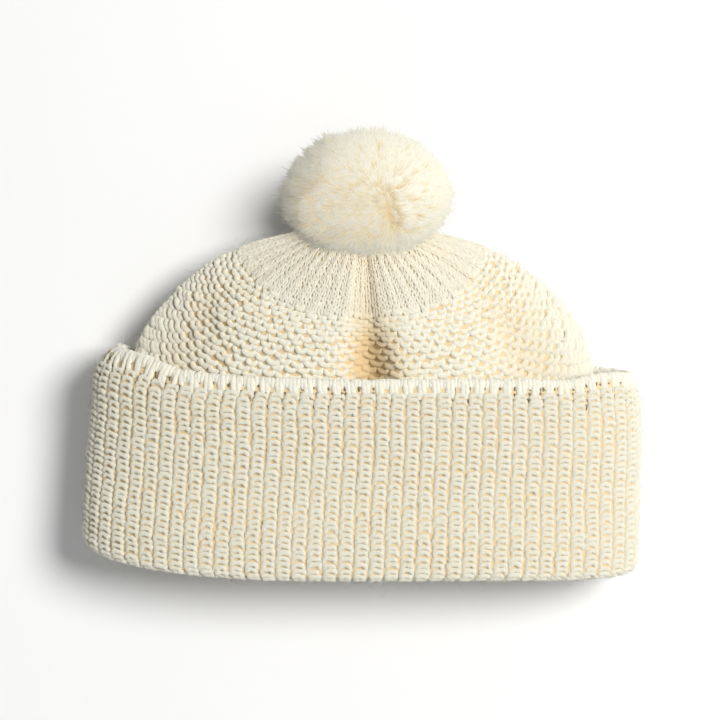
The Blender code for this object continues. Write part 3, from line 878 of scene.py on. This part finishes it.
def make_edge_band(skin, rim_v, material):
    """The cuff's cast-on edge: a tall arch round each hole of a row of holes, with a smaller arch inside
    it that closes its top, and smooth yarns along the rim."""
    steps = EDGE_SIDES * CUFF_WALES
    u = np.linspace(0, 1, steps + 1)
    parts = []
    for shift, sink in EDGE_YARNS:
        wave = EDGE_WAVE * np.sin(2 * math.pi * u * CUFF_WALES)
        centres, normals = skin.read(u, rim_v + shift + wave, -sink * np.ones_like(u))
        radii = np.full((1, steps + 1), EDGE_YARN)
        points, faces, outs = tube_mesh(centres[None], normals[None], radii, EDGE_SIDES)
        tint = np.repeat(rng.random(steps + 1), EDGE_SIDES)
        # Painted shade: the rim's yarns darken the lower they lie.
        attributes = {"depth": (sink - outs) / KNIT_WALL, "hollow": np.zeros(len(points)), "tint": tint}
        attributes.update(ply_attributes(centres[None], EDGE_SIDES))
        attributes["toward"] = fuzz_ways(normals, EDGE_SIDES)
        parts.append((points, faces, attributes))
    pitch = skin.girth(rim_v + EDGE_BAND) / EDGE_HOLES
    hole_u = (np.arange(EDGE_HOLES) + HOLE_OFFSET) / EDGE_HOLES
    hole_v = np.full(EDGE_HOLES, rim_v)
    step = np.linspace(-1, 1, EDGE_POINTS)[None, :]
    for arch in EDGE_ARCHES:
        size = 1 + rng.normal(0, 0.04, (EDGE_HOLES, 1))
        across = arch.span * pitch * np.tanh(EDGE_ROUNDNESS * step) * size
        across = across + jitter(EDGE_HOLES, EDGE_POINTS, STITCH_SCATTER)
        along = arch.top + (arch.foot - arch.top) * np.abs(step) ** 1.3
        along = along + jitter(EDGE_HOLES, EDGE_POINTS, 2 * STITCH_SCATTER)
        lift = CREST - arch.radius - EDGE_TUCK * step**6
        lift = lift + jitter(EDGE_HOLES, EDGE_POINTS, 0.6 * STITCH_SCATTER)
        radii = arch.radius * (1 + 0.12 * step**2 - 0.25 * step**8) * size
        parts.append(yarn(skin, hole_u, hole_v, across, along, lift, radii, EDGE_SIDES))
    obj = new_mesh("cuff_edge", *join(parts), material, "cuff_knit")
    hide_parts("cuff")


def lay_out(skin, first_v, last_v, course, wales, brick):
    """Places of the stitches of a knit with this many wales: u, v and pitch, one for each stitch."""
    u_all, v_all = [], []
    for k in range(int((last_v - first_v) / course)):
        shift = 0.5 * (k % 2) if brick else 0.0
        u_all.append((np.arange(wales) + shift) / wales)
        v_all.append(np.full(wales, first_v + k * course))
    u, v = np.concatenate(u_all), np.concatenate(v_all)
    return u, v, skin.girth(v) / wales


def from_front(u):
    """How far round from the front's middle, as a share of the whole way round."""
    return np.abs((u + 0.5) % 1.0 - 0.5)


def front_and_back(u, fineness):
    """The stitches that face up, where the hat shows them, and the others: a name's ending, which
    stitches, and the sides and points of their tubes."""
    front = from_front(u) < FRONT_SHARE
    return ("", front, *fineness[0]), ("_back", ~front, *fineness[1])


def make_cuff_stitches(skin, rim_v, material):
    inner = lay_out(skin, COURSE / 2, rim_v - EDGE_TURN, COURSE, CUFF_WALES, False)
    outer = lay_out(skin, rim_v + EDGE_BAND, skin.v[-1], COURSE, CUFF_WALES, False)
    u, v, pitch = (np.concatenate(both) for both in zip(inner, outer))
    for ending, chosen, sides, count in front_and_back(u, CUFF_FINENESS):
        stitches = arch_stitches(skin, u[chosen], v[chosen], pitch[chosen], sides, count)
        obj = new_mesh("cuff_stitches" + ending, *stitches, material, "cuff_knit")
        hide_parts("cuff")


def fine_start(u, middle_v):
    """Where the fine knit of the gathered top starts: lower on the front, higher to the sides."""
    return middle_v + FINE_RISE * np.clip(from_front(u) / FINE_RISE_REACH, 0, 1) ** 2


def make_crown_stitches(skin, edge_v, fine_v, material, fine_material):
    top = skin.v[-1]
    u, v, pitch = lay_out(skin, edge_v - CROWN_TUCK, top, WAFFLE_COURSE, CROWN_WALES, True)
    kept = v < fine_start(u, fine_v) + rng.normal(FINE_OVERLAP, FINE_OVERLAP, len(u))
    for ending, chosen, sides, count in front_and_back(u, CROWN_FINENESS):
        chosen = chosen & kept
        stitches = cup_stitches(skin, u[chosen], v[chosen], pitch[chosen], sides, count)
        obj = new_mesh("crown_stitches" + ending, *stitches, material, "crown_knit")
        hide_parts("crown")
    u, v, pitch = lay_out(skin, fine_v - FINE_LEAD, top - TIP_GAP, FINE_COURSE, FINE_WALES, False)
    kept = v > fine_start(u, fine_v) - 0.5 * WAFFLE_COURSE
    for ending, chosen, sides, count in front_and_back(u, FINE_FINENESS):
        chosen = chosen & kept
        legs = [leg_stitches(skin, u[chosen], v[chosen], pitch[chosen], leg, sides, count) for leg in (-1, 1)]
        obj = new_mesh("crown_gather" + ending, *join(legs), fine_material, "crown_knit")
        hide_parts("crown")


def make_cuff_ground(skin, back_row, material):
    """The cuff's wall under its yarn, one closed form from its tucked edge to the seam and back."""
    face = skin.points - GROUND_DEPTH * skin.normals
    back = skin.points - (KNIT_WALL - GROUND_DEPTH) * skin.normals
    rows = np.concatenate([face[::CUFF_ROW_STRIDE], back[back_row:][::-CUFF_ROW_STRIDE]])[:, ::GROUND_STRIDE]
    points = rows.reshape(-1, 3)
    faces = [grid_quads(len(rows), rows.shape[1])[:, ::-1]]
    # The ground's tan colour is painted shade between the stitches.
    attributes = {"depth": np.full(len(points), GROUND_SHADE), "tint": rng.random(len(points))}
    obj = new_mesh("cuff_ground", points, faces, attributes, material, "cuff_knit")
    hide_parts("cuff")


def make_crown_ground(face, hollow, fine_v, material, inside):
    """The crown's wall under its yarn: its face, drawn in round the tie, and the knit of its hollow."""
    fine = np.clip((face.v - fine_v) / FINE_GROUND_REACH, 0, 1)[:, None]
    depths = (GROUND_DEPTH * (1 - fine) + FINE_GROUND_DEPTH * fine)[:, :, None]
    outer = (face.points - depths * face.normals)[::CROWN_ROW_STRIDE, ::CROWN_STRIDE]
    v = hollow.v[:, None] * np.ones(SKIN_COLUMNS)
    u = np.arange(SKIN_COLUMNS) / SKIN_COLUMNS * np.ones_like(v)
    knit = knit_back(u, v)
    inner = (hollow.points - HOLLOW_RELIEF * knit[:, :, None] * hollow.normals)[:, ::CROWN_STRIDE]
    rows = np.concatenate([outer, drawn_in(outer[-1]), drawn_in(inner[-1])[::-1], inner[::-1]])
    points = rows.reshape(-1, 3)
    faces = [grid_quads(len(rows), rows.shape[1])]
    # Painted shade: the fold's and tip's tan, a tan over the fine knit's ground where its gutters are shaded,
    # and darker grooves inside the hollow.
    fold_and_tip_shade = np.maximum(face.hollow, FINE_GUTTER_SHADE * fine)
    shut_in = np.zeros(rows.shape[:2])
    shut_in[: len(outer)] = fold_and_tip_shade[::CROWN_ROW_STRIDE, ::CROWN_STRIDE]
    depth = np.full(rows.shape[:2], GROUND_SHADE)
    depth[-len(inner) :] = INSIDE_DEPTH * knit[::-1, ::CROWN_STRIDE]
    attributes = {"depth": depth.ravel(), "hollow": shut_in.ravel(), "tint": rng.random(len(points))}
    obj = new_mesh("crown_ground", points, faces, attributes, material, "crown_knit")
    obj.data.materials.append(inside)
    is_inside = np.repeat(np.arange(len(rows)) > len(outer), rows.shape[1])
    obj.data.polygons.foreach_set("material_index", is_inside.astype(np.int32))
    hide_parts("crown")


def drawn_in(ring):
    """Two rings on from a last ring: part of the way in, and round the tie."""
    centre = np.array([CROWN_SHIFT, ring[:, 1].mean(), TIP_HEIGHT])
    offset = ring - centre
    offset[:, 1] = 0
    return np.array([centre + offset * DRAWN_IN, centre + unit(offset) * TIE_HOLE])


def pompom_form(directions, size):
    """Points of the pompom's outer form in these directions, at this share of its size."""
    half = POMPOM_SIZE / 2
    points = directions * half * size[..., None]
    points[..., 0] *= 1 - POMPOM_TAPER * points[..., 1] / half[1]
    points = points + POMPOM_CENTRE
    points[..., 2] = np.maximum(points[..., 2], POMPOM_FLOOR)
    return points


def even_directions(count):
    """Directions spread evenly over a sphere, in a spiral."""
    k = np.arange(count) + 0.5
    up = 1 - 2 * k / count
    turn = math.pi * (1 + math.sqrt(5)) * k
    flat = np.sqrt(1 - up**2)
    return np.stack([flat * np.cos(turn), flat * np.sin(turn), up], 1)


def from_parting(points):
    """Vectors from the parting line to these points, and their lengths."""
    start, end = np.array(PARTING_START), np.array(PARTING_END)
    along = np.clip((points - start) @ (end - start) / np.sum((end - start) ** 2), 0, 1)[:, None]
    away = points - (start + along * (end - start))
    return away, np.linalg.norm(away, axis=1, keepdims=True)


def at_parting(points):
    return hump(from_parting(points)[1][:, 0], PARTING_WIDTH)


def from_lobe(directions):
    """How many degrees these directions are from the middle of the front lobe."""
    return np.degrees(np.arccos(np.clip(directions @ unit(np.array(LOBE_WAY)), -1, 1)))


def at_left(directions):
    return np.clip((LOBE_SHADE_START - directions[:, 0]) / LOBE_SHADE_REACH, 0, 1)


def unruly(directions):
    """How much the locks stand apart: less on the pompom's right, where they lie close."""
    return 1 - CLOSE_SIDE * np.clip((directions[:, 0] - CLOSE_START) / CLOSE_REACH, 0, 1)


def pompom_size(directions, locks):
    """The share of the pompom's size at which its packed yarn ends stand, in these directions, with the
    lock that each belongs to: a front lobe overlaps the rest, and the parting is a crease."""
    lobe = 1 / (1 + np.exp((from_lobe(directions) - LOBE_ANGLE) / LOBE_EDGE))
    closeness = directions @ locks.ways.T
    lock_of = np.argmax(closeness, axis=1)
    off_centre = np.arccos(np.clip(closeness[np.arange(len(directions)), lock_of], -1, 1))
    dome = -LOCK_DOME * (off_centre * math.sqrt(LOCKS) / 2) ** 2 * unruly(directions)
    size = CORE_SHARE + LOBE_RISE * (lobe - LOBE_LEVEL) + locks.reaches[lock_of] + dome
    return size - PARTING_SINK * at_parting(pompom_form(directions, np.ones(len(directions)))), lock_of


def painted_shade_of_ends(points, directions):
    """Painted shade on the yarn ends: a tan in the parting's crease, and just outside the front lobe's left
    edge, where the lobe shades them.
    """
    off_edge = from_lobe(directions) - LOBE_ANGLE - 2 * LOBE_EDGE
    lobe_shade = LOBE_SHADE * at_left(directions) * hump(off_edge, 3 * LOBE_EDGE)
    return np.maximum(CREASE_SHADE * at_parting(points), lobe_shade)


def fluff_ways(directions):
    """The ways that the pompom's yarn ends shade toward: their form's, a little upward, and to the left
    on the part that shows behind the front lobe."""
    normals = unit(directions / POMPOM_SIZE)
    lift = UP_SHADING * np.clip(normals[:, 2:] + UP_START, 0, 1) * np.array([0, 0, 1])
    behind = at_left(directions) / (1 + np.exp((LOBE_ANGLE + LOBE_EDGE - from_lobe(directions)) / LOBE_EDGE))
    aside = BEHIND_TURN * behind[:, None] * np.array([-1.0, 0, 0])
    return (normals + lift + aside) / OWN_SHADING


def comb(points, normals, noise):
    """The way that strands rooted at these points head: out, and away from the parting."""
    away, distance = from_parting(points)
    flat = away - normals * np.sum(away * normals, axis=1, keepdims=True)
    tilt = np.radians(TILT_EDGE + (TILT_TOP - TILT_EDGE) * hump(distance, TILT_REACH))
    tilt = tilt * np.clip(distance / PARTING_WIDTH, TILT_PARTING, 1)
    return unit(np.cos(tilt) * normals + np.sin(tilt) * unit(flat) + noise)


def make_strands(name, locks, directions, points_each, length, material):
    """Combed yarn ends whose roots are in the core and whose tips gather in locks."""
    count = len(directions)
    size, lock_of = pompom_size(directions, locks)
    normals = unit(directions / POMPOM_SIZE)
    roots = pompom_form(directions, size - STRAND_SINK)
    lengths = length * rng.lognormal(0, STRAND_SPREAD, (count, 1))
    ways = comb(roots, normals, rng.normal(0, STRAND_NOISE, (count, 3)) + locks.leans[lock_of])
    upright = np.clip(np.abs(directions[:, 2:]) / RIM_HEIGHT, RIM_CLUMPING, 1)
    clump = CLUMPING * rng.random((count, 1)) * upright
    tips = (roots + ways * lengths) * (1 - clump) + locks.tips[lock_of] * clump
    t = np.linspace(0, 1, points_each)[None, :, None]
    sag = STRAND_ARCH * lengths[:, None] * 4 * t * (1 - t)
    bend = STRAND_BEND * lengths[:, None] * unit(rng.normal(0, 1, (count, 1, 3))) * np.sin(t * math.pi)
    centres = roots[:, None] * (1 - t) + tips[:, None] * t + normals[:, None] * sag + bend
    centres[..., 2] = np.maximum(centres[..., 2], POMPOM_FLOOR)
    radii = STRAND_RADIUS * (1.0 - STRAND_TAPER * t[..., 0] ** 2) * (1 + rng.normal(0, 0.2, (count, 1)))
    tube_normals = np.repeat(normals[:, None], points_each, axis=1)
    points, faces, _ = tube_mesh(centres, tube_normals, radii, STRAND_SIDES)
    from_root = np.repeat((np.ones((count, 1, 1)) * t)[..., 0].ravel(), STRAND_SIDES)
    each = points_each * STRAND_SIDES
    # Painted shade: darker toward the roots, and tan in the parting and beside the front lobe.
    attributes = {
        "depth": ROOT_SHADE * (1 - from_root),
        "hollow": painted_shade_of_ends(points, np.repeat(directions, each, axis=0)),
        "tint": np.repeat(rng.random(count), each),
        "toward": np.repeat(fluff_ways(directions), each, axis=0),
    }
    obj = new_mesh(name, points, faces, attributes, material, "pompom_yarn")
    obj.visible_shadow = False
    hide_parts("pompom")


def make_pompom(material):
    """The pompom: packed yarn ends with combed strands on them, more above, where the hat shows them."""
    ways = even_directions(LOCKS)
    ways = unit(ways + rng.normal(0, LOCK_SCATTER, ways.shape))
    reaches = rng.normal(0, LOCK_UNEVENNESS, LOCKS) * unruly(ways)
    normals = unit(ways / POMPOM_SIZE)
    leans = rng.normal(0, LOCK_LEAN, (LOCKS, 3))
    roots = pompom_form(ways, CORE_SHARE + reaches)
    locks = Locks(ways, reaches, leans, roots + LOCK_LENGTH * comb(roots, normals, leans))
    make_core(locks, material)
    directions = even_directions(STRANDS_ABOVE * 2)
    directions = unit(directions + rng.normal(0, STRAND_SCATTER, directions.shape))
    above = directions[directions[:, 2] > 0]
    make_strands("pompom_strands", locks, above, 2, STRAND_LENGTH, material)
    directions = even_directions(STRANDS_BELOW * 2)
    below = directions[directions[:, 2] < 0]
    make_strands("pompom_strands_under", locks, below, 2, STRAND_LENGTH, material)
    stray = unit(rng.normal(0, 1, (STRAY_STRANDS, 3)))
    make_strands("pompom_wisps", locks, stray, 3, STRAY_LENGTH, material)


def ball(fineness):
    """An even ball's directions and triangles."""
    bm = bmesh.new()
    bmesh.ops.create_icosphere(bm, subdivisions=fineness, radius=1.0)
    bm.verts.ensure_lookup_table()
    ways = unit(np.array([vert.co[:] for vert in bm.verts]))
    faces = np.array([[vert.index for vert in face.verts] for face in bm.faces])
    bm.free()
    return ways, faces


def make_core(locks, material):
    """The pompom's packed yarn ends as one form, with a dome at each lock, round its bound middle. Light
    passes through the yarn ends, and the middle casts the pompom's shadow."""
    ways, faces = ball(CORE_FINENESS)
    size, _ = pompom_size(ways, locks)
    points = pompom_form(ways, size + rng.normal(0, CORE_ROUGHNESS, len(ways)))
    # Painted shade: the core lies under the strands and takes some of the darker colour, and tan in the
    # parting and beside the lobe.
    attributes = {
        "depth": np.full(len(points), CORE_DEPTH),
        "hollow": painted_shade_of_ends(points, ways),
        "tint": rng.random(len(points)),
        "toward": fluff_ways(ways),
    }
    obj = new_mesh("pompom_core", points, [faces], attributes, material, "pompom_yarn")
    obj.visible_shadow = False
    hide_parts("pompom")
    ways, faces = ball(MIDDLE_FINENESS)
    points = pompom_form(ways, np.full(len(ways), MIDDLE_SHARE))
    attributes = {"depth": np.ones(len(points)), "tint": rng.random(len(points))}
    obj = new_mesh("pompom_middle", points, [faces], attributes, material, "pompom_yarn")
    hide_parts("pompom")


def make_tie(material):
    """Two plies twisted about the tie's axis, and the knot that stops them inside the crown."""
    knot_start = TIP_Y - TIP_SINK - KNIT_WALL - KNOT_DROP - KNOT_LENGTH
    start, end = knot_start + TIE_INSETS[0], TIP_Y + TIE_REACH - TIE_INSETS[1]
    y = np.linspace(start, end, TIE_POINTS)
    ply = TIE_RADIUS / 2
    twist = 2 * math.pi * (y - start) / TIE_TURN
    turn = np.linspace(0, 2 * math.pi * KNOT_TURNS, TIE_POINTS)
    bulge = KNOT_RADIUS - KNOT_YARN - KNOT_TAPER * np.abs(np.linspace(-1, 1, TIE_POINTS))
    knot_y = knot_start + KNOT_YARN + (KNOT_LENGTH - KNOT_ENDS * KNOT_YARN) * (turn / turn[-1])
    paths, normals, radii = [], [], []
    yarns = ((twist, ply, y, ply), (twist + math.pi, ply, y, ply), (turn, bulge, knot_y, KNOT_YARN))
    for angle, out, place, radius in yarns:
        across = np.stack([np.cos(angle), np.zeros_like(angle), np.sin(angle)], 1)
        axis = np.stack([np.full(TIE_POINTS, CROWN_SHIFT), place, np.full(TIE_POINTS, TIP_HEIGHT)], 1)
        paths.append(axis + (out * np.ones(TIE_POINTS))[:, None] * across)
        normals.append(across)
        radii.append(np.full(TIE_POINTS, radius))
    points, faces, outs = tube_mesh(np.array(paths), np.array(normals), np.array(radii), TIE_SIDES)
    # Painted shade: the tie's yarn darkens the lower it lies.
    attributes = {"depth": TIE_DEPTH - outs / KNIT_WALL, "tint": rng.random(len(points))}
    obj = new_mesh("pompom_tie_yarn", points, faces, attributes, material, "tie_yarn")
    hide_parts("pompom_tie")


def make_fuzz(name, skin, first_v, last_v, count, material, body_slot, node):
    """Loose fibres that start in the yarn and curl off it."""
    u = rng.random(count)
    v = rng.uniform(first_v, last_v, count)
    heading = rng.uniform(0, 2 * math.pi, (count, 1))
    length = FIBRE_LENGTH * rng.lognormal(0, FIBRE_SPREAD, (count, 1))
    step = np.linspace(0, 1, FIBRE_POINTS)[None, :]
    turn = heading + rng.normal(0, FIBRE_CURL, (count, 1)) * step
    across, along = length * step * np.cos(turn), length * step * np.sin(turn)
    lift = -FIBRE_ROOT + length * rng.uniform(*FIBRE_LIFTS, (count, 1)) * step**1.3
    radii = FIBRE_RADIUS * (1 - 0.5 * step) * np.ones((count, 1))
    points, faces, attributes = yarn(skin, u, v, across, along, lift, radii, 3)
    attributes["depth"] = np.zeros(len(points))
    obj = new_mesh(name, points, faces, attributes, material, body_slot)
    obj.visible_shadow = False
    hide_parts(node)


def make_floor():
    mesh = bpy.data.meshes.new("floor")
    half = FLOOR_HALF
    corners = [(-half, -half, 0), (half, -half, 0), (half, half, 0), (-half, half, 0)]
    mesh.from_pydata(corners, [], [(0, 1, 2, 3)])
    material, tree, shader = new_material("pale_floor", FLOOR_SURFACE)
    mottled = tuple(FLOOR_MOTTLE * part for part in FLOOR_COLOUR)
    pale = add_mix(tree, add_noise(tree, FLOOR_NOISE), FLOOR_COLOUR, mottled)
    tree.links.new(pale, shader.inputs["Base Color"])
    mesh.materials.append(material)
    floor = bpy.data.objects.new("floor", mesh)
    bpy.context.scene.collection.objects.link(floor)


def light_scene():
    for lamp in LAMPS:
        light = bpy.data.lights.new(lamp.name, "AREA")
        light.shape = "DISK"
        light.size = lamp.size
        light.energy = lamp.power
        light.color = lamp.colour
        obj = bpy.data.objects.new(lamp.name, light)
        obj.location = lamp.place
        obj.rotation_euler = (Vector(LAMP_TARGET) - Vector(lamp.place)).to_track_quat("-Z", "Y").to_euler()
        bpy.context.scene.collection.objects.link(obj)
    world = bpy.data.worlds.new("studio")
    world.use_nodes = True
    sky = world.node_tree.nodes["Background"]
    set_inputs(sky, {"Color": (*SKY_COLOUR, 1.0), "Strength": SKY_STRENGTH})
    bpy.context.scene.world = world
    bpy.context.scene.view_settings.view_transform = "Standard"


def add_camera():
    camera = bpy.data.cameras.new("camera")
    camera.sensor_width = MILLIMETRES * SENSOR
    camera.lens = MILLIMETRES * SENSOR * (CAMERA_HEIGHT - VIEW_PLANE) / VIEW_WIDTH
    obj = bpy.data.objects.new("camera", camera)
    obj.location = (CAMERA_X, CAMERA_Y, CAMERA_HEIGHT)
    bpy.context.scene.collection.objects.link(obj)
    bpy.context.scene.camera = obj


def main():
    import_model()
    add_camera()
    light_scene()
    make_floor()

    # The edge's, crown's and fine knit's wools are lighter copies of the knit's cream: painted light. The
    # ground's tan is painted shade.
    knit = wool_material("knit_wool", KNIT)
    edge = wool_material("edge_lit_wool", EDGE)
    crown = wool_material("crown_lit_wool", CROWN)
    fine = wool_material("fine_lit_wool", FINE)
    ground = wool_material("ground_shade_wool", GROUND)
    ends = wool_material("pompom_wool", POMPOM)

    cuff_skin, rim_v, tucked = make_cuff_skin()
    make_cuff_ground(cuff_skin, tucked, ground)
    make_edge_band(cuff_skin, rim_v, edge)
    make_cuff_stitches(cuff_skin, rim_v, knit)

    face, hollow, edge_v, fine_v = make_crown_skins()
    make_crown_ground(face, hollow, fine_v, ground, crown)
    make_crown_stitches(face, edge_v, fine_v, crown, fine)

    make_pompom(ends)
    make_tie(knit)
    make_fuzz("cuff_fuzz", cuff_skin, rim_v, cuff_skin.v[-1], FIBRES * 3 // 5, knit, "cuff_knit", "cuff")
    make_fuzz("crown_fuzz", face, edge_v, face.v[-1], FIBRES * 2 // 5, knit, "crown_knit", "crown")


main()
